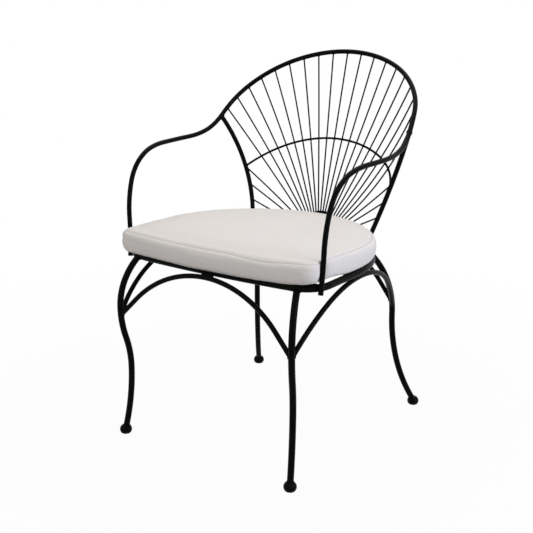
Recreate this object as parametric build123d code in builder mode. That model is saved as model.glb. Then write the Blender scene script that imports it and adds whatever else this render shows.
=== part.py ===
import os
from math import asin, cos, pi, radians, sin, sqrt, tan

from build123d import *

os.makedirs("parts", exist_ok=True)

# Millimetres. The floor is z = 0, the chair faces -Y and is mirrored about x = 0.
leg_rod = 14.2
ring_rod = 15.0
rail_rod = 10.9
upright_rod = 11.0
arch_rod = 10.8
bar_rod = 8.0
hub_rod = 6.8
mid_rod = 5.4
wire_rod = 3.7
# A post is let into the ring by this much where they lap in a weld. Where thinner rods lap,
# they pass each other this far apart, and the weld fills the gap.
weld_bite = 0.25
weld_gap = 0.05

foot_diameter = 28.0
foot_height = 18.6
foot_flat = 21.4
foot_neck = 15.6
foot_swell = 0.42

# Seat ring: slightly bowed front, round corners, straight sides, round back.
ring_height = 417.3
ring_half_width = 251.5
ring_front = -249.5
ring_back_centre = -76.5
ring_corner = 55.0
seat_bow = 2500.0

# Front leg: place round the ring's corner, swing of its plane from the front, and how far
# out from the ring the rod stands at its knee, waist and foot.
front_leg_place = 15.4
front_leg_swing = 22.5
front_knee_out = 49.5
front_knee_height = 305.0
front_waist_out = 27.9
front_waist_height = 159.0
front_foot_out = 47.6

# Back leg: place round the ring's back from its middle, and swing from the back.
back_leg_place = 38.0
back_leg_swing = 31.8
back_knee_out = 85.0
back_knee_height = 249.0
back_foot_out = 156.5

# Arches: depths of their feet on the legs' axes below the ring, and slope of the straight
# runs. The front one stands off the ring's front on a pad, the back one laps the ring's back
# from below, and the side ones pass under the ring.
front_arch_depth = 130.8
front_arch_slope = 46.0
front_arch_forward = 18.5
front_arch_drop = 7.9
pad_rod = 9.0
pad_length = 26.0
back_arch_depth = 141.3
back_arch_slope = 54.5
back_arch_lap = 45.0
side_arch_front_depth = 129.3
side_arch_back_depth = 155.3
side_arch_top = -38.5
side_arch_inset = 2.0
# Headings of a side arch at its front foot, top and back foot: swing and rise in degrees.
side_arch_headings = [(14.4, 50.0), (-0.5, -1.4), (-22.8, -53.5)]

# Uprights: place round the ring's back, the point that they bow back to, and their top, both
# as distance out from the ring's side, back from its back and up from its axis.
upright_place = 39.7
upright_middle = (-44.5, -23.0, 152.7)
upright_top = (7.8, -53.0, 275.2)

# Arm-and-crown rail. The post stands outside the ring's corner, at this place round it, and
# its foot ends below the ring's axis.
post_place = 59.5
post_drop = 10.5
# Then stations of the bent rod up to the middle of the crown: out from the ring's side, back
# from its front or its back, up from its axis, the heading from +Y towards +X and the rise.
post_heading = (13.0, 83.0)
arm_stations = [
    (9.5, 46.0, 158.7, 7.0, 70.0),  # top of the post
    (16.5, 120.5, 223.7, 6.0, 13.5),  # front of the arm
    (24.0, 215.5, 231.7, 2.5, 2.0),  # widest place of the arm
]
crown_stations = [
    (16.5, -108.5, 242.7, -7.0, 16.0),  # back of the arm
    (7.5, -49.5, 278.7, -11.5, 45.5),  # shoulder over the upright
    (-20.5, 22.0, 344.7, -36.5, 36.0),  # side of the crown
]
crown_back = 116.5
crown_rise = 432.7

# Middle hoop behind the wires, between the uprights' middles: right end, its heading, top.
mid_end = (-49.0, -23.5, 152.7)
mid_heading = (-25.5, 29.4)
mid_back = 68.0
mid_rise = 226.7

# Hub hoop that stands on the ring's back and leans with the fan.
hub_radius = 54.0
hub_lean = 18.0

# Fan wires: count on each side of the middle one, share of the crown from its middle to the
# shoulder that they take, spacing along the middle hoop as a share of its half, which widens
# a little, and turn between neighbours round the hub.
crown_wires = 9
crown_share = 0.9414
mid_share = 0.08842
mid_spread = 0.0000342
hub_turn = 6.75
# Wires run straight into their welds for this length.
wire_end = 32.0
# Three more wires on each side end on the upright: height above the ring and bow.
stays = [(148.7, 5.0), (107.7, 3.0), (70.7, 1.0)]

# Bars across the ring under the cushion.
bar_places = [-209.0, -99.0, 1.0, 96.0]
bar_rise = 2.5

# Cushion: boxed pad that overhangs the ring's axis, its sides let in where the posts stand.
side_overhang = 9.5
front_overhang = 17.5
back_overhang = 4.0
cushion_corner = 29.0
cushion_side = 48.5
cushion_edge = 16.0
cushion_crown = 5.0
cushion_clear = 0.4
dent_radius = 25.0
dent_gap = 0.6
dent_shift = 7.0


def flip(point):
    return Vector(-point.X, point.Y, point.Z)


def corner_middle(half_width, front, corner, bow):
    # Middle of a corner arc that is tangent to the side and to the bowed front.
    reach = sqrt((bow - corner) ** 2 - (half_width - corner) ** 2)
    return half_width - corner, front + bow - reach


def draw_seat(half_width, front, back_centre, corner, bow):
    # Closed D: bowed front, corner, side, two back quarters, side, corner.
    x, y = corner_middle(half_width, front, corner, bow)
    turn = asin(x / (bow - corner))
    swell = (pi / 2 + turn) / 2
    meet_x, meet_y = x + corner * sin(turn), y - corner * cos(turn)
    bulge_x, bulge_y = x + corner * sin(swell), y - corner * cos(swell)
    back = back_centre + half_width
    slant = half_width * sqrt(0.5)
    ThreePointArc((-meet_x, meet_y), (0, front), (meet_x, meet_y))
    ThreePointArc((meet_x, meet_y), (bulge_x, bulge_y), (half_width, y))
    Line((half_width, y), (half_width, back_centre))
    ThreePointArc((half_width, back_centre), (slant, back_centre + slant), (0, back))
    ThreePointArc((0, back), (-slant, back_centre + slant), (-half_width, back_centre))
    Line((-half_width, back_centre), (-half_width, y))
    ThreePointArc((-half_width, y), (-bulge_x, bulge_y), (-meet_x, meet_y))


def ring_corner_point(place, out, height):
    # Place round the right front corner, from the front, and out from the ring's axis.
    x, y = corner_middle(ring_half_width, ring_front, ring_corner, seat_bow)
    reach = ring_corner + out
    return Vector(x + reach * sin(radians(place)), y - reach * cos(radians(place)), height)


def ring_back_point(place):
    x = ring_half_width * sin(radians(place))
    y = ring_back_centre + ring_half_width * cos(radians(place))
    return Vector(x, y, ring_height)


def off_ring(out, back, rise):
    # Point given from the ring's right side, its back and its axis.
    x = ring_half_width + out
    return Vector(x, ring_back_centre + ring_half_width + back, ring_height + rise)


def ring_side(y):
    # Half width of the ring's axis at a depth.
    x, corner_y = corner_middle(ring_half_width, ring_front, ring_corner, seat_bow)
    if y > ring_back_centre:
        return sqrt(ring_half_width**2 - (y - ring_back_centre) ** 2)
    if y < corner_y:
        return x + sqrt(ring_corner**2 - (y - corner_y) ** 2)
    return ring_half_width


def heading(swing, rise):
    level = cos(radians(rise))
    return Vector(level * sin(radians(swing)), level * cos(radians(swing)), sin(radians(rise)))


def draw_arc(start, leave, end):
    # Arc that leaves start along a direction, or a line where it would be straight.
    if leave.cross((end - start).normalized()).length < 1e-5:
        Line(start, end)
    else:
        TangentArc(start, end, tangent=leave)


def draw_bends(stations):
    # Two arcs between each pair of stations, tangent to each other and at the stations.
    for (start, leave), (end, arrive) in zip(stations, stations[1:]):
        chord = end - start
        pull = chord.dot(leave + arrive)
        spread = 2 * (1 - leave.dot(arrive))
        if spread < 1e-9:
            reach = chord.dot(chord) / (2 * pull)
        else:
            reach = (sqrt(pull * pull + spread * chord.dot(chord)) - pull) / spread
        near = start + leave * reach
        far = end - arrive * reach
        joint = (near + far) * 0.5
        draw_arc(start, leave, joint)
        draw_arc(joint, (far - near).normalized(), end)


def draw_wire(low, middle, high):
    # Arc through three points with straight ends.
    bow = ThreePointArc(low, middle, high, mode=Mode.PRIVATE)
    share = wire_end / bow.length
    curve = bow.trim(share, 1 - share)
    Line(curve @ 0 - (curve % 0) * wire_end, curve @ 0)
    add(curve)
    Line(curve @ 1, curve @ 1 + (curve % 1) * wire_end)


def run_round(path, diameter):
    # Round rod along a path, in the part being built.
    with BuildSketch(Plane(origin=path @ 0, z_dir=path % 0)) as section:
        Circle(diameter / 2)
    sweep(section.sketch, path=path)


def cope(*others):
    for other in others:
        add(other.part, mode=Mode.SUBTRACT)


def save(piece, label):
    piece.part.label = label
    export_step(piece.part, f"parts/{label}.step")


def save_pair(piece, label):
    # The right piece and its mirror image.
    save(piece, f"{label}_right")
    with BuildPart() as left:
        add(mirror(piece.part, about=Plane.YZ, mode=Mode.PRIVATE))
    save(left, f"{label}_left")
    return left


# Seat ring
with BuildPart() as seat_ring:
    with BuildLine(Plane.XY.offset(ring_height)) as run:
        draw_seat(ring_half_width, ring_front, ring_back_centre, ring_corner, seat_bow)
    run_round(run.wire(), ring_rod)
save(seat_ring, "seat_ring")

# Feet: flattened balls that stand on a flat.
front_top = ring_corner_point(front_leg_place, 0, ring_height)
front_out = heading(180 - front_leg_swing, 0)
front_foot = front_top + front_out * front_foot_out
back_top = ring_back_point(back_leg_place)
back_out = heading(back_leg_swing, 0)
back_foot = back_top + back_out * back_foot_out


def draw_foot():
    # Half profile: flat, swelling side, neck, back to the axis.
    Line((0, 0), (foot_flat / 2, 0))
    ThreePointArc(
        (foot_flat / 2, 0), (foot_diameter / 2, foot_height * foot_swell), (foot_neck / 2, foot_height)
    )
    Line((foot_neck / 2, foot_height), (0, foot_height))
    Line((0, foot_height), (0, 0))


with BuildPart() as front_foot_right:
    with BuildSketch(Plane(origin=(front_foot.X, front_foot.Y, 0), x_dir=(1, 0, 0), z_dir=(0, -1, 0))):
        with BuildLine():
            draw_foot()
        make_face()
    revolve(axis=Axis((front_foot.X, front_foot.Y, 0), (0, 0, 1)))
front_foot_left = save_pair(front_foot_right, "front_foot")

with BuildPart() as back_foot_right:
    with BuildSketch(Plane(origin=(back_foot.X, back_foot.Y, 0), x_dir=(1, 0, 0), z_dir=(0, -1, 0))):
        with BuildLine():
            draw_foot()
        make_face()
    revolve(axis=Axis((back_foot.X, back_foot.Y, 0), (0, 0, 1)))
back_foot_left = save_pair(back_foot_right, "back_foot")

# Legs: each lies in an upright plane, drawn as distance out from the ring and height.
upward = Vector(0, 0, 1)
front_plane = Plane(
    origin=(front_top.X, front_top.Y, 0), x_dir=front_out, z_dir=front_out.cross(upward)
)
back_plane = Plane(
    origin=(back_top.X, back_top.Y, 0), x_dir=back_out, z_dir=back_out.cross(upward)
)
leg_end = foot_height * 0.6
front_knee = (front_knee_out, front_knee_height)
front_waist = (front_waist_out, front_waist_height)
front_bend = ((front_knee_out + front_waist_out) / 2, (front_knee_height + front_waist_height) / 2)
back_knee = (back_knee_out, back_knee_height)

with BuildPart() as front_leg_right:
    with BuildLine(front_plane) as run:
        TangentArc(front_knee, (0, ring_height), tangent=upward)
        TangentArc(front_knee, front_bend, tangent=upward * -1)
        TangentArc(front_waist, front_bend, tangent=upward)
        TangentArc(front_waist, (front_foot_out, leg_end), tangent=upward * -1)
    run_round(run.wire(), leg_rod)
    cope(seat_ring, front_foot_right)
front_leg_left = save_pair(front_leg_right, "front_leg")

with BuildPart() as back_leg_right:
    with BuildLine(back_plane) as run:
        TangentArc(back_knee, (0, ring_height), tangent=upward)
        TangentArc(back_knee, (back_foot_out, leg_end), tangent=upward * -1)
    run_round(run.wire(), leg_rod)
    cope(seat_ring, back_foot_right)
back_leg_left = save_pair(back_leg_right, "back_leg")


def arc_out(knee_out, knee_height, height):
    # How far out the leg's upper arc stands at a height, at or above the knee.
    radius = (knee_out**2 + (ring_height - knee_height) ** 2) / (2 * knee_out)
    return knee_out - radius + sqrt(radius**2 - (height - knee_height) ** 2)


def front_leg_point(height):
    if height >= front_knee_height:
        out = arc_out(front_knee_out, front_knee_height, height)
    else:
        drop = front_knee_height - front_waist_height
        step = front_knee_out - front_waist_out
        radius = (drop**2 + step**2) / (4 * step)
        out = front_knee_out - radius + sqrt(radius**2 - (front_knee_height - height) ** 2)
    point = front_top + front_out * out
    return Vector(point.X, point.Y, height)


def back_leg_point(height):
    point = back_top + back_out * arc_out(back_knee_out, back_knee_height, height)
    return Vector(point.X, point.Y, height)


def draw_arch(half_span, rise, slope):
    # Arch with a round top and straight feet, drawn from its top.
    angle = radians(slope)
    radius = (half_span * tan(angle) - rise) / (sin(angle) * tan(angle) - 1 + cos(angle))
    x = radius * sin(angle)
    y = -radius * (1 - cos(angle))
    Line((-half_span, -rise), (-x, y))
    ThreePointArc((-x, y), (0, 0), (x, y))
    Line((x, y), (half_span, -rise))


# Arches between the legs, their tops welded to the ring.
lap = (ring_rod + arch_rod) / 2 + weld_gap
front_arch_end = front_leg_point(ring_height - front_arch_depth)
front_arch_top = Vector(0, ring_front - front_arch_forward, ring_height - front_arch_drop)
front_arch_fall = Vector(0, front_arch_end.Y, front_arch_end.Z) - front_arch_top
with BuildPart() as arch_front:
    with BuildLine(
        Plane(
            origin=front_arch_top,
            x_dir=(1, 0, 0),
            z_dir=Vector(1, 0, 0).cross(front_arch_fall * -1),
        )
    ) as run:
        draw_arch(front_arch_end.X, front_arch_fall.length, front_arch_slope)
    run_round(run.wire(), arch_rod)
    cope(front_leg_right, front_leg_left)
save(arch_front, "arch_front")

# Pad between the ring and the top of the front arch.
stand_off = Vector(0, -front_arch_forward, -front_arch_drop)
pad_gap = stand_off.length - (ring_rod + arch_rod) / 2
pad_middle = Vector(0, ring_front, ring_height) + stand_off.normalized() * ((ring_rod + pad_gap) / 2)
with BuildPart() as arch_pad:
    with BuildLine() as run:
        Line(pad_middle - Vector(pad_length / 2, 0, 0), pad_middle + Vector(pad_length / 2, 0, 0))
    run_round(run.wire(), pad_rod)
    cope(seat_ring, arch_front)
save(arch_pad, "arch_pad")

back_arch_end = back_leg_point(ring_height - back_arch_depth)
back_arch_top = Vector(
    0,
    ring_back_centre + ring_half_width + lap * cos(radians(back_arch_lap)),
    ring_height - lap * sin(radians(back_arch_lap)),
)
back_arch_fall = Vector(0, back_arch_end.Y, back_arch_end.Z) - back_arch_top
with BuildPart() as arch_back:
    with BuildLine(
        Plane(
            origin=back_arch_top,
            x_dir=(1, 0, 0),
            z_dir=Vector(1, 0, 0).cross(back_arch_fall * -1),
        )
    ) as run:
        draw_arch(back_arch_end.X, back_arch_fall.length, back_arch_slope)
    run_round(run.wire(), arch_rod)
    cope(back_leg_right, back_leg_left)
save(arch_back, "arch_back")

side_top = Vector(
    ring_side(side_arch_top) - side_arch_inset,
    side_arch_top,
    ring_height - sqrt(lap**2 - side_arch_inset**2),
)
side_points = [
    front_leg_point(ring_height - side_arch_front_depth),
    side_top,
    back_leg_point(ring_height - side_arch_back_depth),
]
with BuildPart() as arch_right:
    with BuildLine() as run:
        draw_bends([(spot, heading(*way)) for spot, way in zip(side_points, side_arch_headings)])
    run_round(run.wire(), arch_rod)
    cope(front_leg_right, back_leg_right, arch_front, arch_back)
arch_left = save_pair(arch_right, "arch")

# Rail: right post, arm and half of the crown, then the same mirrored.
post_out = (ring_rod + rail_rod) / 2 - weld_bite
post_lean = heading(*post_heading)
post_at_ring = ring_corner_point(post_place, post_out, ring_height)
post_start = post_at_ring - post_lean * (post_drop / post_lean.Z)
half_rail = [(post_start, post_lean)]
for out, behind, up, swing, rise in arm_stations:
    spot = Vector(ring_half_width + out, ring_front + behind, ring_height + up)
    half_rail.append((spot, heading(swing, rise)))
for out, behind, up, swing, rise in crown_stations:
    half_rail.append((off_ring(out, behind, up), heading(swing, rise)))
half_rail.append((off_ring(-ring_half_width, crown_back, crown_rise), Vector(-1, 0, 0)))
whole_rail = list(half_rail)
for point, way in reversed(half_rail[:-1]):
    whole_rail.append((flip(point), Vector(way.X, -way.Y, -way.Z)))

with BuildPart() as rail:
    with BuildLine() as run:
        draw_bends(whole_rail)
    rail_path = run.wire()
    run_round(rail_path, rail_rod)
    cope(seat_ring)
save(rail, "rail")

# Uprights
upright_foot = ring_back_point(upright_place)
with BuildPart() as upright_right:
    with BuildLine() as run:
        upright_path = ThreePointArc(
            upright_foot, off_ring(*upright_middle), off_ring(*upright_top)
        )
    run_round(run.wire(), upright_rod)
    cope(seat_ring, rail, back_leg_right)
upright_left = save_pair(upright_right, "upright")

# Middle hoop
mid_leave = heading(*mid_heading)
mid_right = off_ring(*mid_end)
mid_top = off_ring(-ring_half_width, mid_back, mid_rise)
with BuildPart() as mid_hoop:
    with BuildLine() as run:
        draw_bends(
            [
                (mid_right, mid_leave),
                (mid_top, Vector(-1, 0, 0)),
                (flip(mid_right), Vector(mid_leave.X, -mid_leave.Y, -mid_leave.Z)),
            ]
        )
    mid_path = run.wire()
    run_round(mid_path, mid_rod)
    cope(upright_right, upright_left)
save(mid_hoop, "mid_hoop")

# Hub hoop: half a circle on the ring's back, leaning back.
hub_up = Vector(0, sin(radians(hub_lean)), cos(radians(hub_lean)))
hub_middle = Vector(0, ring_back_centre + ring_half_width, ring_height)


def hub_point(angle):
    turn = radians(angle)
    return hub_middle + Vector(hub_radius * sin(turn), 0, 0) + hub_up * (hub_radius * cos(turn))


with BuildPart() as hub_hoop:
    with BuildLine() as run:
        ThreePointArc(hub_point(-92), hub_point(0), hub_point(92))
    run_round(run.wire(), hub_rod)
    cope(seat_ring)
save(hub_hoop, "hub_hoop")

# Fan wires: from the hub past the front of the middle hoop to the crown.
rail_half_length = rail_path.length / 2
mid_half_length = mid_path.length / 2
with BuildLine() as run:
    draw_bends(half_rail[-3:])
crown_pitch = run.wire().length * crown_share / crown_wires


def fan_wire(number):
    low = hub_point(hub_turn * number)
    high = rail_path.position_at(
        rail_half_length - crown_pitch * number, position_mode=PositionMode.LENGTH
    )
    place = mid_half_length * (1 - mid_share * number - mid_spread * number**3)
    hoop = mid_path.position_at(place, position_mode=PositionMode.LENGTH)
    way = mid_path.tangent_at(place, position_mode=PositionMode.LENGTH)
    forward = way.cross(high - low).normalized()
    if forward.Y > 0:
        forward = forward * -1
    return low, hoop + forward * ((mid_rod + wire_rod) / 2 + weld_gap), high


for number in range(crown_wires + 1):
    with BuildPart() as wire:
        with BuildLine() as run:
            draw_wire(*fan_wire(number))
        run_round(run.wire(), wire_rod)
        cope(hub_hoop, rail)
    if number == 0:
        save(wire, "wire_middle")
    else:
        save_pair(wire, f"wire_{number}")

for number, (height, bow) in enumerate(stays, 1):
    with BuildPart() as stay:
        spots = [upright_path @ (step / 400) for step in range(401)]
        end = min(spots, key=lambda spot: abs(spot.Z - ring_height - height))
        low = hub_point(hub_turn * (crown_wires + number))
        sag = (end - low).cross(Vector(0, 0, 1)).normalized()
        if sag.Y < 0:
            sag = sag * -1
        with BuildLine() as run:
            draw_wire(low, (low + end) * 0.5 + sag * bow, end)
        run_round(run.wire(), wire_rod)
        cope(hub_hoop, upright_right, mid_hoop, seat_ring)
    save_pair(stay, f"stay_{number}")

# Seat bars
for number, place in enumerate(bar_places, 1):
    reach = ring_side(place)
    height = ring_height + bar_rise
    with BuildPart() as bar:
        with BuildLine() as run:
            Line((-reach, place, height), (reach, place, height))
        run_round(run.wire(), bar_rod)
        cope(seat_ring)
    save(bar, f"seat_bar_{number}")

# Cushion: bulging sides, then a crown on the top.
cushion_base = ring_height + ring_rod / 2 + cushion_clear
cushion_half_width = ring_half_width + side_overhang
cushion_front = ring_front - front_overhang
cushion_back_centre = ring_back_centre + back_overhang - side_overhang
cushion_centre = (cushion_front + cushion_back_centre + cushion_half_width) / 2


def cushion_section(height, inset, scale=1.0):
    front = cushion_centre + (cushion_front + inset - cushion_centre) * scale
    back_centre = cushion_centre + (cushion_back_centre - cushion_centre) * scale
    with BuildSketch(Plane.XY.offset(cushion_base + height)) as section:
        with BuildLine():
            draw_seat(
                (cushion_half_width - inset) * scale,
                front,
                back_centre,
                (cushion_corner - inset) * scale,
                seat_bow * scale,
            )
        make_face()
    return section.sketch


with BuildPart() as cushion:
    loft(
        [
            cushion_section(0, cushion_edge),
            cushion_section(cushion_side * 0.12, cushion_edge * 0.3),
            cushion_section(cushion_side * 0.5, 0),
            cushion_section(cushion_side * 0.88, cushion_edge * 0.3),
            cushion_section(cushion_side, cushion_edge),
        ]
    )
    loft(
        [
            cushion_section(cushion_side, cushion_edge),
            cushion_section(cushion_side + cushion_crown * 0.7, cushion_edge, 0.7),
            cushion_section(cushion_side + cushion_crown, cushion_edge, 0.3),
        ]
    )
    dent_reach = dent_radius - rail_rod / 2 - dent_gap
    dent = post_at_ring + Vector(sqrt(dent_reach**2 - dent_shift**2), dent_shift, 0)
    for side in (dent, flip(dent)):
        with BuildSketch(Plane.XY.offset(cushion_base - 1)):
            with Locations((side.X, side.Y)):
                Circle(dent_radius)
        extrude(amount=cushion_side + cushion_crown + 10, mode=Mode.SUBTRACT)
save(cushion, "cushion")
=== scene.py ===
import math

import bpy
import numpy as np
from mathutils import Matrix, Vector
from mathutils.bvhtree import BVHTree


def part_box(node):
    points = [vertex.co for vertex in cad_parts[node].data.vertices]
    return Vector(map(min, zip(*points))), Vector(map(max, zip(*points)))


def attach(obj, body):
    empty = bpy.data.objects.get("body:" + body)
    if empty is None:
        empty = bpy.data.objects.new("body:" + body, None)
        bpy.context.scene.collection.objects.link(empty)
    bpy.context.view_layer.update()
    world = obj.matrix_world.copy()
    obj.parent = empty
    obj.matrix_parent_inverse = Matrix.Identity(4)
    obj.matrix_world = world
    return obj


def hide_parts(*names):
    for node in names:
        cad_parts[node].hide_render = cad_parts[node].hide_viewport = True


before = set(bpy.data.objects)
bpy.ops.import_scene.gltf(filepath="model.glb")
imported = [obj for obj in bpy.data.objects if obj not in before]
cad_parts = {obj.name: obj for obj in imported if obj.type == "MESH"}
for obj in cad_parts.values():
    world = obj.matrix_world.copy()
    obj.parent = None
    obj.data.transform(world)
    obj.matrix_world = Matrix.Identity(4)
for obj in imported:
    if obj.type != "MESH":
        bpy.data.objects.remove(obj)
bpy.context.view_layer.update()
scene = bpy.context.scene
scene.view_settings.view_transform = "Standard"
print("frame loaded:", len(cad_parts), "nodes")


# mesh helpers

def meshObject(name, points, faces, smooth=True):
    mesh = bpy.data.meshes.new(name)
    mesh.from_pydata(points, [], faces)
    mesh.polygons.foreach_set("use_smooth", np.full(len(mesh.polygons), smooth))
    mesh.update()
    obj = bpy.data.objects.new(name, mesh)
    scene.collection.objects.link(obj)
    return obj


def readPoints(mesh):
    flat = np.empty(len(mesh.vertices) * 3)
    mesh.vertices.foreach_get("co", flat)
    return flat.reshape(-1, 3)


def readNormals(mesh):
    flat = np.empty(len(mesh.vertices) * 3, dtype=np.float32)
    mesh.vertex_normals.foreach_get("vector", flat)
    return flat.reshape(-1, 3).astype(float)


def evaluatedMesh(obj):
    graph = bpy.context.evaluated_depsgraph_get()
    graph.update()
    return bpy.data.meshes.new_from_object(obj.evaluated_get(graph))


# node helpers

def newGroup(name, inputs, outputs):
    group = bpy.data.node_groups.new(name, "ShaderNodeTree")
    for label, kind, value in inputs:
        socket = group.interface.new_socket(label, in_out="INPUT", socket_type=kind)
        if value is not None:
            socket.default_value = value
    for label, kind in outputs:
        group.interface.new_socket(label, in_out="OUTPUT", socket_type=kind)
    return group, group.nodes.new("NodeGroupInput"), group.nodes.new("NodeGroupOutput")


def addNode(tree, kind, **values):
    node = tree.nodes.new(kind)
    for key, value in values.items():
        setattr(node, key, value)
    return node


def feed(tree, socket, value):
    # a socket is linked, anything else is set as a plain value
    if isinstance(value, bpy.types.NodeSocket):
        tree.links.new(value, socket)
    else:
        socket.default_value = value


def calc(tree, operation, first, second=0.0, clamp=False):
    node = addNode(tree, "ShaderNodeMath", operation=operation, use_clamp=clamp)
    feed(tree, node.inputs[0], first)
    feed(tree, node.inputs[1], second)
    return node.outputs[0]


def spread(tree, value, low, high, toLow, toHigh):
    # value from low..high onto toLow..toHigh, held at the ends
    node = addNode(tree, "ShaderNodeMapRange")
    feed(tree, node.inputs["Value"], value)
    for label, number in (("From Min", low), ("From Max", high), ("To Min", toLow), ("To Max", toHigh)):
        feed(tree, node.inputs[label], number)
    return node.outputs["Result"]


def cloud(tree, place, scale, detail=2.0, roughness=0.5):
    node = addNode(tree, "ShaderNodeTexNoise")
    feed(tree, node.inputs["Vector"], place)
    feed(tree, node.inputs["Scale"], scale)
    feed(tree, node.inputs["Detail"], detail)
    feed(tree, node.inputs["Roughness"], roughness)
    return node.outputs["Fac"]


def mixColour(tree, share, first, second):
    node = addNode(tree, "ShaderNodeMix", data_type="RGBA")
    feed(tree, node.inputs["Factor"], share)
    feed(tree, node.inputs[6], first)
    feed(tree, node.inputs[7], second)
    return node.outputs[2]


# powder coat: orange peel, uneven cure and a little dust where the surface looks up

coatSkin = dict(
    finePeel=3.1, peelShare=0.8, fineShare=0.2,  # fine peel's scale against the peel, and their shares
    cure=38.0, cureLow=0.3, cureHigh=0.7,  # clouds in the gloss, per metre
    specks=420.0, speckRough=0.7, speckLow=0.42, speckHigh=0.7, speckLeast=0.15, dustFrom=0.35,  # dust
)


def powderCoatGroup():
    group, entry, leave = newGroup(
        "powderCoatSkin",
        [("Place", "NodeSocketVector", None), ("Peel per metre", "NodeSocketFloat", 700.0),
         ("Dust", "NodeSocketFloat", 0.3)],
        [("Height", "NodeSocketFloat"), ("Gloss", "NodeSocketFloat"), ("Pale", "NodeSocketFloat")])
    place = entry.outputs["Place"]
    peel = cloud(group, place, entry.outputs["Peel per metre"], 1.0)
    finer = calc(group, "MULTIPLY", entry.outputs["Peel per metre"], coatSkin["finePeel"])
    fine = cloud(group, place, finer, 2.0)
    cure = cloud(group, place, coatSkin["cure"], 3.0)
    specks = cloud(group, place, coatSkin["specks"], 4.0, coatSkin["speckRough"])
    looksUp = addNode(group, "ShaderNodeSeparateXYZ")
    shape = addNode(group, "ShaderNodeNewGeometry")
    group.links.new(shape.outputs["Normal"], looksUp.inputs[0])
    settled = spread(group, looksUp.outputs["Z"], coatSkin["dustFrom"], 1.0, 0.0, 1.0)
    speckled = spread(group, specks, coatSkin["speckLow"], coatSkin["speckHigh"], coatSkin["speckLeast"], 1.0)
    dust = calc(group, "MULTIPLY", settled, speckled)
    coarse = calc(group, "MULTIPLY", peel, coatSkin["peelShare"])
    feed(group, leave.inputs["Height"],
         calc(group, "ADD", coarse, calc(group, "MULTIPLY", fine, coatSkin["fineShare"])))
    feed(group, leave.inputs["Gloss"],
         spread(group, cure, coatSkin["cureLow"], coatSkin["cureHigh"], 0.0, 1.0))
    feed(group, leave.inputs["Pale"], calc(group, "MULTIPLY", dust, entry.outputs["Dust"], True))
    return group


powderCoat = powderCoatGroup()


def coatedMaterial(name, values):
    material = bpy.data.materials.new(name)
    material.use_nodes = True
    tree = material.node_tree
    shader = tree.nodes["Principled BSDF"]
    where = addNode(tree, "ShaderNodeTexCoord")
    skin = addNode(tree, "ShaderNodeGroup", node_tree=powderCoat)
    tree.links.new(where.outputs["Object"], skin.inputs["Place"])
    skin.inputs["Peel per metre"].default_value = values["peel"]
    skin.inputs["Dust"].default_value = values["dust"]
    cured = mixColour(tree, skin.outputs["Gloss"], values["deep"], values["pale"])
    feed(tree, shader.inputs["Base Color"], mixColour(tree, skin.outputs["Pale"], cured, values["dustTone"]))
    feed(tree, shader.inputs["Roughness"],
         spread(tree, skin.outputs["Gloss"], 0.0, 1.0, values["smooth"], values["rough"]))
    bump = addNode(tree, "ShaderNodeBump")
    bump.inputs["Strength"].default_value = values["bump"]
    bump.inputs["Distance"].default_value = values["depth"]
    tree.links.new(skin.outputs["Height"], bump.inputs["Height"])
    tree.links.new(bump.outputs["Normal"], shader.inputs["Normal"])
    shader.inputs["Specular IOR Level"].default_value = values["shine"]
    return material


satin = dict(
    peel=620.0, dust=0.10,
    deep=(0.0008, 0.0008, 0.0009, 1), pale=(0.0018, 0.0018, 0.0019, 1), dustTone=(0.02, 0.019, 0.019, 1),
    smooth=0.26, rough=0.38, bump=0.35, depth=0.00012, shine=0.036,
)
rodCoat = coatedMaterial("satinBlackRod", satin)
wireCoat = coatedMaterial("satinBlackWire", dict(satin, peel=900.0, bump=0.25, dust=0.1))
footCoat = coatedMaterial("satinBlackFoot", dict(satin, smooth=0.24, rough=0.36, dust=0.3))
weldCoat = coatedMaterial("satinBlackWeld", dict(satin, peel=380.0, bump=0.6, depth=0.0003, rough=0.5))

for name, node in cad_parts.items():
    coat = rodCoat
    if name.startswith(("wire", "stay", "mid", "hub")):
        coat = wireCoat
    elif "foot" in name:
        coat = footCoat
    node.data.materials.clear()
    node.data.materials.append(coat)
print("frame coated")


# welds: a rippled bead along each line where a rod's end meets another rod, and round each lap

weld = dict(
    rodBead=0.0017, footBead=0.0013, wireBead=0.0009,  # half thickness of the beads
    along=44, around=8, ripple=0.12, slowRipple=0.06, ripplePitch=0.0030, fewest=4, phaseStep=1.7,
    touch=0.00012, lapTouch=0.0006, sampleStep=0.0006, margin=0.001,  # how near counts as meeting
    lapRadius=2.2, lapLong=0.85, lapWide=0.68, lapBand=0.00003, lapBeside=3,  # ellipse round a lap
    apart=0.02,  # ends further than this from the mirror plane are two welds
    enough=6,  # fewest spots that make a bead
)


def cadSurface(name):
    # points and triangles of a CAD node
    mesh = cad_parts[name].data
    mesh.calc_loop_triangles()
    corners = np.empty(len(mesh.loop_triangles) * 3, dtype=np.int32)
    mesh.loop_triangles.foreach_get("vertices", corners)
    return readPoints(mesh), corners.reshape(-1, 3)


def gapTo(tree, spots):
    # distance from each spot to the other rod's surface
    return np.array([tree.find_nearest(spot)[3] for spot in spots.tolist()])


def nearBox(spots, name, margin):
    # spots inside a CAD node's box and a margin round it
    low, high = (np.array(corner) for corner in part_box(name))
    return spots[((spots > low - margin) & (spots < high + margin)).all(1)]


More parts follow.
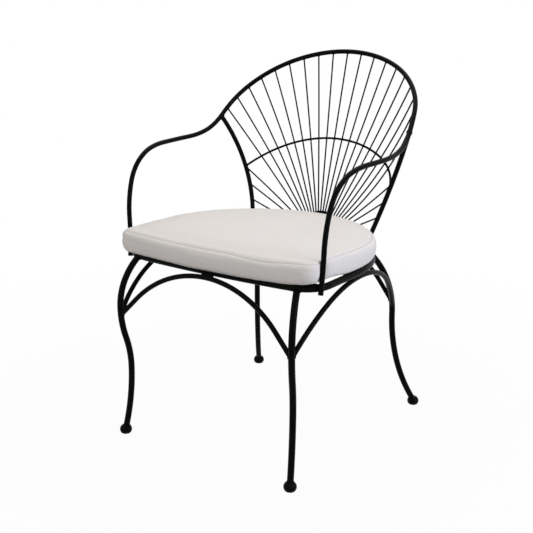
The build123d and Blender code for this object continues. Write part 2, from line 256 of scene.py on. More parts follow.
def endLoop(spots):
    # outermost spot in each direction round the middle, seen along the loop's thinnest direction
    middle = spots.mean(0)
    _, _, axes = np.linalg.svd(spots - middle, full_matrices=False)
    flat = (spots - middle) @ axes[:2].T
    turn = np.arctan2(flat[:, 1], flat[:, 0])
    reach = np.hypot(flat[:, 0], flat[:, 1])
    slot = np.floor((turn + math.pi) / (2 * math.pi) * weld["along"]).astype(int) % weld["along"]
    order = np.lexsort((reach, slot))
    last = np.append(np.diff(slot[order]) > 0, True)
    ring = spots[order][last]
    angle = turn[order][last]
    even = np.linspace(-math.pi, math.pi, weld["along"], endpoint=False)
    loop = np.stack([np.interp(even, angle, ring[:, k], period=2 * math.pi) for k in range(3)], 1)
    return 0.5 * loop + 0.25 * (np.roll(loop, 1, 0) + np.roll(loop, -1, 0))


def lapLoop(spots, gaps, radius):
    # ellipse round the nearest spot, in the plane between the two rods
    contact = spots[gaps < gaps.min() + weld["lapBand"]].mean(0)
    beside = spots[np.linalg.norm(spots - contact, axis=1) < weld["lapBeside"] * radius]
    _, _, axes = np.linalg.svd(beside - beside.mean(0), full_matrices=False)
    way = axes[0]
    facing = contact - beside.mean(0)
    facing -= way * (facing @ way)
    facing /= np.linalg.norm(facing)
    turn = np.linspace(0, 2 * math.pi, weld["along"], endpoint=False)[:, None]
    across = np.cross(facing, way)
    return contact + radius * (weld["lapLong"] * np.cos(turn) * way + weld["lapWide"] * np.sin(turn) * across)


def bead(loop, thick, phase):
    # round section carried along the closed loop, its thickness rippling with the distance run
    way = np.roll(loop, -1, 0) - np.roll(loop, 1, 0)
    way /= np.linalg.norm(way, axis=1)[:, None]
    out = loop - loop.mean(0)
    out -= way * (out * way).sum(1)[:, None]
    out /= np.linalg.norm(out, axis=1)[:, None]
    side = np.cross(way, out)
    run = np.linalg.norm(np.roll(loop, -1, 0) - loop, axis=1)
    ripples = max(weld["fewest"], round(run.sum() / weld["ripplePitch"]))
    beat = 2 * math.pi * ripples * np.cumsum(run) / run.sum() + phase
    slow = np.sin(beat / ripples + phase)
    size = thick * (1 + weld["ripple"] * np.sin(beat) + weld["slowRipple"] * slow)
    turn = np.linspace(0, 2 * math.pi, weld["around"], endpoint=False)
    ring = np.cos(turn)[None, :, None] * out[:, None] + np.sin(turn)[None, :, None] * side[:, None]
    return loop[:, None] + size[:, None, None] * ring


def beadMesh(name, beads):
    # one closed grid of quads for each bead, all in one mesh
    along, around = weld["along"], weld["around"]
    ring = np.arange(along)[:, None] * around
    spot = np.arange(around)[None]
    nextRing, nextSpot = (ring + around) % (along * around), (spot + 1) % around
    quad = np.stack([ring + spot, ring + nextSpot, nextRing + nextSpot, nextRing + spot], 2).reshape(-1, 4)
    faces = (quad[None] + (np.arange(len(beads)) * along * around)[:, None, None]).reshape(-1, 4)
    return meshObject(name, np.concatenate(beads).reshape(-1, 3).tolist(), faces.tolist())


def weldPairs():
    # rod, the rod that it ends on, bead, and whether it laps instead of ending there
    rod, foot, wire = weld["rodBead"], weld["footBead"], weld["wireBead"]
    pairs = [("rail", "seat_ring", rod, False), ("hub_hoop", "seat_ring", wire, False),
             ("arch_back", "seat_ring", rod, True), ("arch_pad", "seat_ring", foot, False),
             ("arch_pad", "arch_front", foot, False)]
    pairs += [(f"seat_bar_{number}", "seat_ring", foot, False) for number in range(1, 5)]
    for side in ("right", "left"):
        for end in ("front", "back"):
            leg = f"{end}_leg_{side}"
            pairs += [(leg, "seat_ring", rod, False), (leg, f"{end}_foot_{side}", foot, False),
                      (f"arch_{end}", leg, rod, False), (f"arch_{side}", leg, rod, False)]
        upright = f"upright_{side}"
        pairs += [(f"arch_{side}", "seat_ring", rod, True), (upright, "seat_ring", rod, False),
                  (upright, "rail", rod, False), ("mid_hoop", upright, wire, False)]
        pairs += [(f"stay_{number}_{side}", main, wire, False)
                  for number in (1, 2, 3) for main in ("hub_hoop", upright)]
    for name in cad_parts:
        if name.startswith("wire"):
            pairs += [(name, "hub_hoop", wire, False), (name, "rail", wire, False),
                      (name, "mid_hoop", wire, True)]
    return pairs


def denseSpots(points, triangles):
    # spots along the rod's mesh edges, at most a sample step apart
    edges = np.concatenate([triangles[:, [0, 1]], triangles[:, [1, 2]], triangles[:, [2, 0]]])
    edges = np.unique(np.sort(edges, axis=1), axis=0)
    length = np.linalg.norm(points[edges[:, 1]] - points[edges[:, 0]], axis=1)
    count = np.ceil(length / weld["sampleStep"]).astype(int)
    whole = np.repeat(np.arange(len(edges)), count)
    step = np.arange(len(whole)) - np.repeat(np.cumsum(count) - count, count)
    share = ((step + 0.5) / count[whole])[:, None]
    return points[edges[whole, 0]] * (1 - share) + points[edges[whole, 1]] * share


def makeWelds():
    # thick beads for rods and feet in one object, thin beads for wires in the other
    trees = {}
    thick, thin = [], []
    for rod, main, size, laps in weldPairs():
        points, triangles = cadSurface(rod)
        if main not in trees:
            trees[main] = BVHTree.FromPolygons(*(part.tolist() for part in cadSurface(main)))
        spots = np.unique(points.round(6), axis=0)
        if laps:
            spots = denseSpots(points, triangles)
        spots = nearBox(spots, main, weld["margin"])
        gaps = gapTo(trees[main], spots)
        close = gaps < (weld["lapTouch"] if laps else weld["touch"])
        spots, gaps = spots[close], gaps[close]
        if len(spots) < weld["enough"]:
            continue
        loops = []
        if laps:
            loops.append(lapLoop(spots, gaps, weld["lapRadius"] * size))
        elif np.abs(spots[:, 0]).min() > weld["apart"]:
            halves = spots[spots[:, 0] > 0], spots[spots[:, 0] < 0]
            loops += [endLoop(half) for half in halves if len(half) >= weld["enough"]]
        else:
            loops.append(endLoop(spots))
        batch = thin if size == weld["wireBead"] else thick
        batch += [bead(loop, size, len(batch) * weld["phaseStep"]) for loop in loops]
    for name, beads in (("rodWelds", thick), ("wireWelds", thin)):
        obj = beadMesh(name, beads)
        obj.data.materials.append(weldCoat)
        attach(obj, "frame")
        print(name, "made:", len(beads), "beads")


makeWelds()


# cushion: boxed pad with a top and a bottom seam

pad = dict(
    halfWidth=0.261, front=-0.267, backCentre=-0.082, corner=0.029, bow=2.5,  # outline
    base=0.4254, side=0.0485, middle=0.027, crown=0.002, overEdge=0.016,  # section
    underFront=0.013, underCorner=0.018, underSide=0.009,  # how far the edge rounds in under its middle
    cornerFrom=0.06, cornerTo=0.19, sideFrom=0.040, sideTo=0.130,  # where one reach gives way to the next
    spare=0.0030, lower=0.0005,  # the start is wider, as swelling draws the sides in
    columns=300, edgeRows=31, panelRows=14, panelInner=0.06, panelOuter=0.97, tip=0.0001,  # start's grid
    frontSteps=160, cornerSteps=60, backSteps=220, outlineSteps=900, profileSteps=401, heightSteps=2001,
    panelFirst=0.001, panelFar=0.3, panelSteps=300, batch=6000,  # batch: points placed at a time
    voxel=0.0055, pressure=0.7, frames=20, quality=6, mass=0.25, stretch=80, shear=40, bend=2.0,  # swelling
    held=0.002, sewn=0.005, shrink=0.006, cap=0.016, calm=24, calmShare=0.6,
    frontRise=0.0012, backDrop=0.0030,  # the filling is thicker at the front
    topSeam=0.0445, bottomSeam=0.0045,  # heights of the sewn lines over the base
    topDraw=0.0009, bottomDraw=0.0005,  # how deep they draw in
    seamWidth=0.0030, roll=0.0003, rollAt=2.4, rollWide=1.1,  # the roll's place and width in seam widths
    pucker=0.25, puckerLong=0.021, puckerShift=1.3, puckerDrift=19.0,
    wander=0.0055, wanderAt=0.14, wanderLong=0.065,  # the top line dips along the right half of the front
    # folds: place along the outline, height from the edge's middle, half length, half height, depth
    folds=[(-0.262, 0.002, 0.030, 0.0042, 0.0020), (-0.205, -0.001, 0.045, 0.0045, 0.0010),
           (0.262, 0.004, 0.020, 0.0060, 0.0012), (0.215, -0.003, 0.040, 0.0050, 0.0008),
           (-0.120, 0.000, 0.080, 0.0060, 0.0006), (0.060, -0.001, 0.090, 0.0060, 0.0006),
           (0.276, 0.006, 0.004, 0.0150, 0.0010), (0.312, 0.004, 0.005, 0.0140, 0.0009),
           (-0.276, 0.006, 0.004, 0.0150, 0.0008), (-0.312, 0.004, 0.005, 0.0140, 0.0009)],
    # rods that press the edge in: axis at postBase, its lean per metre of height, way out, and reach
    postBase=0.4173, dentWidth=0.010, dentSoft=0.001,
    posts=[((0.25466, -0.22085), (0.0276, 0.1196), (1.0, 0.0), 0.0064),
           ((0.16045, 0.11770), (0.2550, 0.4167), (0.624, 0.7815), 0.0070)],
    # how far the edge hangs past the ring and how far it is drawn up, by place along the outline
    hangs=[(-0.36, 0.0), (-0.31, 0.002), (-0.26, 0.0050), (-0.10, 0.0051), (-0.05, 0.0065), (0.0, 0.0060),
           (0.035, 0.0053), (0.09, 0.0053), (0.14, 0.0045), (0.18, 0.0038), (0.205, 0.0026), (0.225, 0.0)],
    lifts=[(-0.40, 0.0), (-0.332, 0.0060), (-0.285, 0.0), (0.212, 0.0), (0.235, 0.0030), (0.250, 0.0050),
           (0.29, 0.0052), (0.332, 0.0062), (0.39, 0.0)],
    hangFull=0.008, hangNone=0.0132, liftFull=0.012, liftNone=0.045, lowFull=0.006, lowNone=0.030,
    lineReach=1.0, lineSteps=1001, bellReach=15, bellWide=5.0,
)


def ease(value, low, high):
    # 0 at low, 1 at high, level at both ends
    share = np.clip((value - low) / (high - low), 0.0, 1.0)
    return share * share * (3 - 2 * share)


def edgeLine(pairs, places):
    # straight runs between pairs of place and value, rounded off by a bell-shaped mean
    steps = np.linspace(-pad["lineReach"], pad["lineReach"], pad["lineSteps"])
    bell = np.exp(-0.5 * (np.arange(-pad["bellReach"], pad["bellReach"] + 1) / pad["bellWide"]) ** 2)
    line = np.convolve(np.interp(steps, *np.array(pairs).T), bell / bell.sum(), "same")
    return np.interp(places, steps, line)


def underEdge(spots):
    # reach of the edge's underside: wide at the front corners, less between them and least along the sides
    side = ease(spots[:, 1], pad["front"] + pad["sideFrom"], pad["front"] + pad["sideTo"])
    corner = ease(np.abs(spots[:, 0]), pad["cornerFrom"], pad["cornerTo"]) * (1 - side)
    reach = pad["underFront"] + (pad["underSide"] - pad["underFront"]) * side
    return reach + (pad["underCorner"] - reach) * corner


def padOutline(count):
    # bowed front, corner, side, half circle of the back, side, corner; even steps along it
    half, corner, bow, front = pad["halfWidth"], pad["corner"], pad["bow"], pad["front"]
    midX = half - corner
    midY = front + bow - math.sqrt((bow - corner) ** 2 - midX ** 2)
    turn = math.asin(midX / (bow - corner))
    sweepFront = np.linspace(0.0, turn, pad["frontSteps"])
    sweepCorner = np.linspace(turn, math.pi / 2, pad["cornerSteps"])
    sweepBack = np.linspace(0.0, math.pi / 2, pad["backSteps"])
    right = np.concatenate([
        np.stack([bow * np.sin(sweepFront), front + bow - bow * np.cos(sweepFront)], 1),
        np.stack([midX + corner * np.sin(sweepCorner), midY - corner * np.cos(sweepCorner)], 1),
        np.stack([half * np.cos(sweepBack), pad["backCentre"] + half * np.sin(sweepBack)], 1)])
    left = right[::-1] * (-1.0, 1.0)
    loop = np.concatenate([right, left[1:]])
    keep = np.append(True, np.linalg.norm(np.diff(loop, axis=0), axis=1) > 1e-7)
    loop = loop[keep]
    along = np.append(0.0, np.cumsum(np.linalg.norm(np.diff(loop, axis=0), axis=1)))
    steps = np.linspace(0.0, along[-1], count, endpoint=False)
    return np.stack([np.interp(steps, along, loop[:, k]) for k in (0, 1)], 1), steps


def edgeProfile(count):
    # two ellipse quarters at the front, one under the middle of the edge and one over it:
    # inset from the outline, height, and length along the profile from its middle
    turn = np.linspace(-math.pi / 2, math.pi / 2, count)
    under = turn < 0
    inset = np.where(under, pad["underFront"], pad["overEdge"]) * (1.0 - np.cos(turn))
    tall = np.where(under, pad["middle"], pad["side"] - pad["middle"])
    height = pad["base"] + pad["middle"] + tall * np.sin(turn)
    along = np.append(0.0, np.cumsum(np.hypot(np.diff(inset), np.diff(height))))
    return inset, height, along - along[count // 2]


def profileAt(height):
    # length along the profile at a height over the base
    _, heights, along = edgeProfile(pad["heightSteps"])
    return float(np.interp(pad["base"] + height, heights, along))


def startPad():
    # closed grid: rings run from the middle of the bottom, out, up the edge and in over the crown
    columns, edgeRows, panelRows = pad["columns"], pad["edgeRows"], pad["panelRows"]
    outline, _ = padOutline(columns)
    way = np.roll(outline, -1, 0) - np.roll(outline, 1, 0)
    way /= np.linalg.norm(way, axis=1)[:, None]
    outward = np.stack([way[:, 1], -way[:, 0]], 1)
    _, height, _ = edgeProfile(edgeRows)
    turn = np.linspace(-math.pi / 2, math.pi / 2, edgeRows)[:, None]
    reach = np.where(turn < 0, underEdge(outline)[None], pad["overEdge"])
    inset = reach * (1.0 - np.cos(turn)) - pad["spare"]
    height = pad["base"] + (height - pad["base"]) * (1 - pad["lower"] / pad["side"])
    share = np.linspace(pad["panelInner"], pad["panelOuter"], panelRows)
    crown = height[-1] + pad["crown"] * (1 - share[::-1] ** 2)
    insets = np.concatenate([np.repeat(inset[:1], panelRows, 0), inset, np.repeat(inset[-1:], panelRows, 0)])
    heights = np.concatenate([np.full(panelRows, height[0]), height, crown])
    scales = np.concatenate([share, np.ones(edgeRows), share[::-1]])
    middle = np.array([0.0, (pad["front"] + pad["backCentre"] + pad["halfWidth"]) / 2])
    ring = outline[None] - outward[None] * insets[:, :, None]
    ring = middle + (ring - middle) * scales[:, None, None]
    points = np.concatenate([ring, np.broadcast_to(heights[:, None, None], ring.shape[:2] + (1,))], 2)
    ends = np.array([[*middle, heights[0]], [*middle, heights[-1] + pad["tip"]]])
    first = np.arange(columns)
    second = (first + 1) % columns
    below = np.arange(len(scales) - 1)[:, None] * columns
    quads = np.stack([below + first, below + second, below + second + columns, below + first + columns], 2)
    total, last = points.shape[0] * columns, below[-1, 0] + columns
    low = np.stack([second, first, np.full(columns, total)], 1)
    high = np.stack([first + last, second + last, np.full(columns, total + 1)], 1)
    faces = quads.reshape(-1, 4).tolist() + low.tolist() + high.tolist()
    return meshObject("padStart", np.concatenate([points.reshape(-1, 3), ends]).tolist(), faces)


def nearestOf(points, line):
    # index of the line's spot nearest to each point, worked out in batches
    nearest = np.empty(len(points), dtype=int)
    for part in np.array_split(np.arange(len(points)), max(1, len(points) // pad["batch"])):
        nearest[part] = ((points[part, None] - line[None]) ** 2).sum(2).argmin(1)
    return nearest


def padPlace(rest):
    # for each point: length along the edge's profile, along the outline, and distance in from the outline
    outline, steps = padOutline(pad["outlineSteps"])
    nearest = nearestOf(rest[:, :2], outline)
    inside = np.linalg.norm(rest[:, :2] - outline[nearest], axis=1)
    inset, height, along = edgeProfile(pad["profileSteps"])
    far = np.linspace(pad["panelFirst"], pad["panelFar"], pad["panelSteps"])
    inset = np.concatenate([inset[0] + far[::-1], inset, inset[-1] + far])
    height = np.pad(height, pad["panelSteps"], "edge")
    along = np.concatenate([along[0] - far[::-1], along, along[-1] + far])
    spot = nearestOf(np.stack([inside, rest[:, 2]], 1), np.stack([inset, height], 1))
    return along[spot], steps[nearest], inside


def swellPad(obj):
    # pressure pushes the remeshed shell out, with its bottom held and its sewn lines drawn in
    mesh = obj.data
    rest = readPoints(mesh)
    held = obj.vertex_groups.new(name="held")
    held.add(np.nonzero(rest[:, 2] < pad["base"] + pad["held"])[0].tolist(), 1.0, "REPLACE")
    profile, _, _ = padPlace(rest)
    sewn = obj.vertex_groups.new(name="sewn")
    fromTop, fromBottom = (np.abs(profile - profileAt(pad[seam])) for seam in ("topSeam", "bottomSeam"))
    sewn.add(np.nonzero(np.minimum(fromTop, fromBottom) < pad["sewn"])[0].tolist(), 1.0, "REPLACE")
    swelling = obj.modifiers.new("swell", "CLOTH")
    swelling.settings.quality = pad["quality"]
    swelling.settings.mass = pad["mass"]
    swelling.settings.tension_stiffness = pad["stretch"]
    swelling.settings.compression_stiffness = pad["stretch"]
    swelling.settings.shear_stiffness = pad["shear"]
    swelling.settings.bending_stiffness = pad["bend"]
    swelling.settings.use_pressure = True
    swelling.settings.uniform_pressure_force = pad["pressure"]
    swelling.settings.vertex_group_mass = "held"
    swelling.settings.vertex_group_shrink = "sewn"
    swelling.settings.shrink_min = 0.0
    swelling.settings.shrink_max = pad["shrink"]
    swelling.settings.effector_weights.gravity = 0
    swelling.collision_settings.use_collision = False
    for step in range(1, pad["frames"] + 1):
        scene.frame_set(step)
    swollen = evaluatedMesh(obj)
    moved = readPoints(swollen) - rest
    length = np.linalg.norm(moved, axis=1)
    moved *= np.minimum(1.0, pad["cap"] / np.maximum(length, 1e-9))[:, None]
    # the filling carries the cloth, so each point's move is evened out with its neighbours'
    pairs = np.empty(len(mesh.edges) * 2, dtype=np.int32)
    mesh.edges.foreach_get("vertices", pairs)
    pairs = np.concatenate([pairs.reshape(-1, 2), pairs.reshape(-1, 2)[:, ::-1]])
    count = np.bincount(pairs[:, 0], minlength=len(rest))[:, None]
    for _ in range(pad["calm"]):
        total = np.stack([np.bincount(pairs[:, 0], moved[pairs[:, 1], k], len(rest)) for k in range(3)], 1)
        moved = (1 - pad["calmShare"]) * moved + pad["calmShare"] * total / count
    obj.modifiers.remove(swelling)
    scene.frame_set(1)
    bpy.data.meshes.remove(swollen)
    return rest + moved, length.max()


def softPad():
    # the start is remeshed, swelled and made finer; rest is each point's place before it swelled
    begin = startPad()
    remesh = begin.modifiers.new("remesh", "REMESH")
    remesh.mode = "VOXEL"
    remesh.voxel_size = pad["voxel"]
    body = bpy.data.objects.new("seatCushion", evaluatedMesh(begin))
    scene.collection.objects.link(body)
    bpy.data.objects.remove(begin)
    rest = shaped = readPoints(body.data)
    shaped, most = swellPad(body)
    print("cushion swelled by up to", round(most * 1000, 1), "mm")
    body.vertex_groups.clear()
    body.data.vertices.foreach_set("co", shaped.ravel())
    keep = body.data.attributes.new("rest", "FLOAT_VECTOR", "POINT")
    keep.data.foreach_set("vector", rest.ravel())
    finer = body.modifiers.new("finer", "SUBSURF")
    finer.levels = finer.render_levels = 1
    fine = evaluatedMesh(body)
    body.modifiers.clear()
    old = body.data
    body.data = fine
    bpy.data.meshes.remove(old)
    flat = np.empty(len(fine.vertices) * 3, dtype=np.float32)
    fine.attributes["rest"].data.foreach_get("vector", flat)
    fine.attributes.remove(fine.attributes["rest"])
    return body, flat.reshape(-1, 3).astype(float)


def sewPad(points, normals, profile, along, fromFront, seams):
    # soft folds along the edge, each a bell-shaped hollow
    for place, up, long, tall, depth in pad["folds"]:
        sunk = np.exp(-((fromFront - place) / long) ** 2 - ((profile - up) / tall) ** 2)
        points -= normals * (depth * sunk)[:, None]
    # the filling is thinner towards the back
    rise = np.clip((points[:, 2] - pad["base"]) / pad["side"], 0.0, 1.0)
    toBack = ease(points[:, 1], pad["front"], pad["backCentre"] + pad["halfWidth"])
    points[:, 2] += rise * (pad["frontRise"] * (1 - toBack) - pad["backDrop"] * toBack)
    # sewn lines draw in, a soft roll stands up beside them
    drift = pad["puckerShift"] * np.sin(along * pad["puckerDrift"])
    pucker = 1.0 + pad["pucker"] * np.sin(along * 2 * math.pi / pad["puckerLong"] + drift)
    for seam, depth in zip(seams, (pad["topDraw"], pad["bottomDraw"])):
        off = (profile - seam) / pad["seamWidth"]
        beside = (np.abs(off) - pad["rollAt"]) / pad["rollWide"]
        points -= normals * (depth * pucker * np.exp(-off ** 2))[:, None]
        points += normals * (pad["roll"] * np.exp(-beside ** 2))[:, None]


def pressPad(points, inside, fromFront):
    # posts and uprights press the edge in: points past a rod's near side come back to it, less so beside it
    for mirror in (np.array([1.0, 1.0]), np.array([-1.0, 1.0])):
        for foot, lean, out, reach in pad["posts"]:
            way = mirror * out
            off = points[:, :2] - mirror * (np.array(foot) + np.outer(points[:, 2] - pad["postBase"], lean))
            past = pad["dentSoft"] * np.logaddexp(0.0, (off @ way + reach) / pad["dentSoft"])
            beside = off @ np.array([-way[1], way[0]])
            points[:, :2] -= way * (past * np.exp(-0.5 * (beside / pad["dentWidth"]) ** 2))[:, None]
    points[:, 2] = np.maximum(points[:, 2], pad["base"])
    # past the ring the front edge hangs, and at the right corner and behind the posts it is drawn up
    low = 1 - ease(points[:, 2], pad["base"] + pad["lowFull"], pad["base"] + pad["lowNone"])
    hang = low * (1 - ease(inside, pad["hangFull"], pad["hangNone"]))
    drawn = low * (1 - ease(inside, pad["liftFull"], pad["liftNone"]))
    points[:, 2] += drawn * edgeLine(pad["lifts"], fromFront) - hang * edgeLine(pad["hangs"], fromFront)


def mapCloth(mesh, rest, profile, along, total, seams):
    # cloth map in metres: panels lie flat from above, the band runs along the outline
    corners = np.empty(len(mesh.loops), dtype=np.int32)
    mesh.loops.foreach_get("vertex_index", corners)
    starts = np.empty(len(mesh.polygons), dtype=np.int32)
    sizes = np.empty(len(mesh.polygons), dtype=np.int32)
    mesh.polygons.foreach_get("loop_start", starts)
    mesh.polygons.foreach_get("loop_total", sizes)
    overTop, overBottom = (np.add.reduceat((profile - seam)[corners], starts) for seam in seams)
    onBand = np.repeat((overTop < 0) & (overBottom > 0), sizes)
    lap = along[corners]
    ahead = lap - np.repeat(lap[starts], sizes)
    lap = lap - total * (ahead > total / 2) + total * (ahead < -total / 2)
    chart = np.where(onBand[:, None], np.stack([lap, profile[corners]], 1), rest[corners, :2])
    layer = mesh.uv_layers.new(name="clothMap")
    layer.data.foreach_set("uv", chart.astype(np.float32).ravel())
    # distance from each sewn line, and the run along it
    lines = dict(topSeam=profile - seams[0], bottomSeam=profile - seams[1], seamRun=along)
    for label, values in lines.items():
        line = mesh.attributes.new(label, "FLOAT", "POINT")
        line.data.foreach_set("value", values.astype(np.float32))


def makeCushion():
    body, rest = softPad()
    mesh = body.data
    points = readPoints(mesh)
    profile, along, inside = padPlace(rest)
    total = along.max() + padOutline(pad["outlineSteps"])[1][1]
    fromFront = np.where(along > total / 2, along - total, along)
    dip = pad["wander"] * np.exp(-((fromFront - pad["wanderAt"]) / pad["wanderLong"]) ** 2)
    seams = profileAt(pad["topSeam"]) - dip, profileAt(pad["bottomSeam"])
    sewPad(points, readNormals(mesh), profile, along, fromFront, seams)
    pressPad(points, inside, fromFront)
    mesh.vertices.foreach_set("co", points.ravel())
    mesh.polygons.foreach_set("use_smooth", np.ones(len(mesh.polygons), dtype=bool))
    mapCloth(mesh, rest, profile, along, total, seams)
    mesh.update()
    return body


# cloth: plain weave in off-white yarn

cloth = dict(
    yarn=(0.810, 0.772, 0.742, 1), shadow=(0.750, 0.712, 0.682, 1),
    # the crease colour is painted shade for the sewn creases
    worn=(0.785, 0.745, 0.712, 1), creaseShade=(0.42, 0.39, 0.37, 1),
    threads=1100.0, threadRise=0.5, slubLong=60.0, slubShort=900.0, slubLow=0.32, slubHigh=0.68,
    patch=9.0, patchLow=0.35, patchHigh=0.7, patchMost=0.5,  # worn patches, per metre
    # how wide the crease is, and how much of the painted shade colour goes into it
    creaseWide=0.0016, creaseShadeShare=0.45,
    stitchLong=0.0034, stitchCore=0.0004, stitchWide=0.0010, stitchFrom=-0.2, stitchTo=0.4,
    weaveHeight=0.16, stitchHeight=0.4, bump=0.6, depth=0.0009,
    rough=0.92, shine=0.2, sheen=0.12, sheenRough=0.5,
)


def weaveGroup():
    # plain weave: warp and weft rise in turn, with slubs along each thread
    group, entry, leave = newGroup(
        "plainWeave",
        [("Map", "NodeSocketVector", None), ("Threads per metre", "NodeSocketFloat", cloth["threads"])],
        [("Height", "NodeSocketFloat"), ("Shade", "NodeSocketFloat")])
    split = addNode(group, "ShaderNodeSeparateXYZ")
    group.links.new(entry.outputs["Map"], split.inputs[0])
    turns = calc(group, "MULTIPLY", entry.outputs["Threads per metre"], math.pi)
    warp, weft = (calc(group, "SINE", calc(group, "MULTIPLY", split.outputs[axis], turns)) for axis in "XY")
    over = calc(group, "MULTIPLY", warp, weft)
    slubs = []
    long, short = cloth["slubLong"], cloth["slubShort"]
    for stretch in ((long, short, 1.0), (short, long, 1.0)):
        mapping = addNode(group, "ShaderNodeMapping")
        group.links.new(entry.outputs["Map"], mapping.inputs["Vector"])
        mapping.inputs["Scale"].default_value = stretch
        slubs.append(cloud(group, mapping.outputs["Vector"], 1.0, 2.0))
    slub = calc(group, "MULTIPLY", calc(group, "ADD", slubs[0], slubs[1]), 0.5)
    rise = calc(group, "MULTIPLY", over, cloth["threadRise"])
    feed(group, leave.inputs["Height"], calc(group, "ADD", rise, slub))
    feed(group, leave.inputs["Shade"], spread(group, slub, cloth["slubLow"], cloth["slubHigh"], 0.0, 1.0))
    return group


def clothMaterial():
    material = bpy.data.materials.new("offWhiteWeave")
    material.use_nodes = True
    tree = material.node_tree
    shader = tree.nodes["Principled BSDF"]
    chart = addNode(tree, "ShaderNodeUVMap", uv_map="clothMap")
    weave = addNode(tree, "ShaderNodeGroup", node_tree=weaveGroup())
    tree.links.new(chart.outputs["UV"], weave.inputs["Map"])
    weave.inputs["Threads per metre"].default_value = cloth["threads"]
    where = addNode(tree, "ShaderNodeTexCoord")
    patchy = cloud(tree, where.outputs["Object"], cloth["patch"], 3.0)
    wear = spread(tree, patchy, cloth["patchLow"], cloth["patchHigh"], 0.0, cloth["patchMost"])
    yarn = mixColour(tree, weave.outputs["Shade"], cloth["shadow"], cloth["yarn"])
    aged = mixColour(tree, wear, yarn, cloth["worn"])
    # sewn lines: a crease with painted shade darkening it, and a stitch every few millimetres
    lines = []
    for label in ("topSeam", "bottomSeam"):
        off = addNode(tree, "ShaderNodeAttribute", attribute_name=label)
        lines.append(calc(tree, "ABSOLUTE", off.outputs["Fac"]))
    nearest = calc(tree, "MINIMUM", lines[0], lines[1])
    # 1 on the sewn line and 0 a crease width off: it dents the cloth and sets how much shade is painted
    creaseShade = spread(tree, nearest, 0.0, cloth["creaseWide"], 1.0, 0.0)
    run = addNode(tree, "ShaderNodeAttribute", attribute_name="seamRun")
    beat = calc(tree, "SINE", calc(tree, "MULTIPLY", run.outputs["Fac"], 2 * math.pi / cloth["stitchLong"]))
    onLine = spread(tree, nearest, cloth["stitchCore"], cloth["stitchWide"], 1.0, 0.0)
    inStitch = spread(tree, beat, cloth["stitchFrom"], cloth["stitchTo"], 0.0, 1.0)
    stitch = calc(tree, "MULTIPLY", onLine, inStitch)
    # painted shade: the crease colour darkens the cloth along the sewn lines
    paintedShade = calc(tree, "MULTIPLY", creaseShade, cloth["creaseShadeShare"])
    feed(tree, shader.inputs["Base Color"], mixColour(tree, paintedShade, aged, cloth["creaseShade"]))
    woven = calc(tree, "MULTIPLY", weave.outputs["Height"], cloth["weaveHeight"])
    height = calc(tree, "ADD", calc(tree, "SUBTRACT", woven, creaseShade),
                  calc(tree, "MULTIPLY", stitch, cloth["stitchHeight"]))
    bump = addNode(tree, "ShaderNodeBump")
    bump.inputs["Strength"].default_value = cloth["bump"]
    bump.inputs["Distance"].default_value = cloth["depth"]
    feed(tree, bump.inputs["Height"], height)
    tree.links.new(bump.outputs["Normal"], shader.inputs["Normal"])
    shader.inputs["Roughness"].default_value = cloth["rough"]
    shader.inputs["Specular IOR Level"].default_value = cloth["shine"]
    shader.inputs["Sheen Weight"].default_value = cloth["sheen"]
    shader.inputs["Sheen Roughness"].default_value = cloth["sheenRough"]
    return material


cushion = makeCushion()
cushion.data.materials.clear()
cushion.data.materials.append(clothMaterial())
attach(cushion, "cushion")
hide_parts("cushion")
print("cushion made:", len(cushion.data.polygons), "faces")


# stage: white floor that keeps a faint shadow, soft light from above, from the right and from the front

studio = dict(
    worldLight=0.36, floorHalf=60.0, floorDrop=0.0002, floorTone=(0.6, 0.6, 0.6, 1), floorRough=0.9,
    floorWhite=0.96, whiteFrom=0.45, whiteTo=1.5,  # the floor turns fully white away from its middle
    # name, place, aim, size, power and tone
    lamps=[("topSoftbox", (0.1, 0.35, 2.0), (0, 0, 0.45), 1.7, 17.5, (1.0, 0.985, 0.965)),
           ("sideSoftbox", (2.0, -0.05, 0.9), (0, -0.05, 0.45), 1.0, 17.0, (0.77, 0.83, 1.0)),
           ("frontSoftbox", (-0.2, -2.2, 1.7), (0, -0.1, 0.45), 1.8, 10.7, (1.0, 0.985, 0.965))],
)


def litFromCamera(tree):
    # 1 for rays that show the stage to the camera, directly or in a shine
    path = addNode(tree, "ShaderNodeLightPath")
    seen = calc(tree, "MAXIMUM", path.outputs["Is Camera Ray"], path.outputs["Is Glossy Ray"])
    return calc(tree, "MAXIMUM", seen, path.outputs["Is Transmission Ray"])


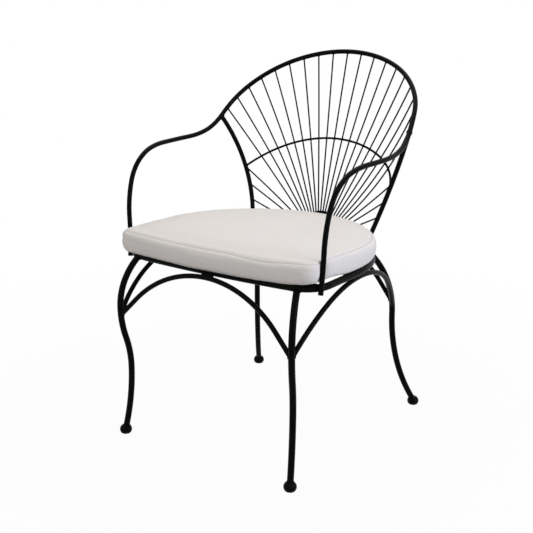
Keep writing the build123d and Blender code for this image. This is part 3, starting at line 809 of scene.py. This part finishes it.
def makeStage():
    world = bpy.data.worlds.new("whiteRoom")
    scene.world = world
    world.use_nodes = True
    tree = world.node_tree
    back = tree.nodes["Background"]
    back.inputs["Color"].default_value = (1, 1, 1, 1)
    feed(tree, back.inputs["Strength"],
         spread(tree, litFromCamera(tree), 0.0, 1.0, studio["worldLight"], 1.0))
    far, down = studio["floorHalf"], -studio["floorDrop"]
    corners = [(-far, -far, down), (far, -far, down), (far, far, down), (-far, far, down)]
    floor = meshObject("floor", corners, [(0, 1, 2, 3)], False)
    paint = bpy.data.materials.new("whiteFloor")
    paint.use_nodes = True
    tree = paint.node_tree
    shader = tree.nodes["Principled BSDF"]
    shader.inputs["Base Color"].default_value = studio["floorTone"]
    shader.inputs["Roughness"].default_value = studio["floorRough"]
    glow = addNode(tree, "ShaderNodeEmission")
    blend = addNode(tree, "ShaderNodeMixShader")
    where = addNode(tree, "ShaderNodeTexCoord")
    reach = addNode(tree, "ShaderNodeVectorMath", operation="LENGTH")
    tree.links.new(where.outputs["Object"], reach.inputs[0])
    white = spread(tree, reach.outputs["Value"], studio["whiteFrom"], studio["whiteTo"],
                   studio["floorWhite"], 1.0)
    feed(tree, blend.inputs["Fac"], calc(tree, "MULTIPLY", litFromCamera(tree), white))
    tree.links.new(shader.outputs[0], blend.inputs[1])
    tree.links.new(glow.outputs[0], blend.inputs[2])
    tree.links.new(blend.outputs[0], tree.nodes["Material Output"].inputs["Surface"])
    floor.data.materials.append(paint)

    for name, spot, aim, size, power, tone in studio["lamps"]:
        lamp = bpy.data.lights.new(name, "AREA")
        lamp.shape = "SQUARE"
        lamp.size = size
        lamp.energy = power
        lamp.color = tone
        holder = bpy.data.objects.new(name, lamp)
        holder.location = spot
        holder.rotation_euler = (Vector(aim) - Vector(spot)).to_track_quat("-Z", "Y").to_euler()
        scene.collection.objects.link(holder)


# camera: turn from straight ahead, tilt down and roll in degrees, lens and sensor in millimetres

view = dict(eye=(1.15405, -1.67876, 0.94102), azimuth=35.263, down=15.579, roll=0.297,
            lens=61.602, sensor=36.0)


def makeCamera():
    swing, down, roll = (math.radians(view[key]) for key in ("azimuth", "down", "roll"))
    ahead = Vector((-math.sin(swing) * math.cos(down), math.cos(swing) * math.cos(down), -math.sin(down)))
    right = Vector((math.cos(swing), math.sin(swing), 0))
    up = right.cross(ahead)
    level = right, up
    right = level[0] * math.cos(roll) + level[1] * math.sin(roll)
    up = level[1] * math.cos(roll) - level[0] * math.sin(roll)
    lens = bpy.data.cameras.new("camera")
    lens.lens = view["lens"]
    lens.sensor_width = view["sensor"]
    camera = bpy.data.objects.new("camera", lens)
    turn = Matrix((right, up, -ahead)).transposed()
    camera.matrix_world = Matrix.Translation(view["eye"]) @ turn.to_4x4()
    scene.collection.objects.link(camera)
    scene.camera = camera


makeStage()
makeCamera()
print("stage and camera set")
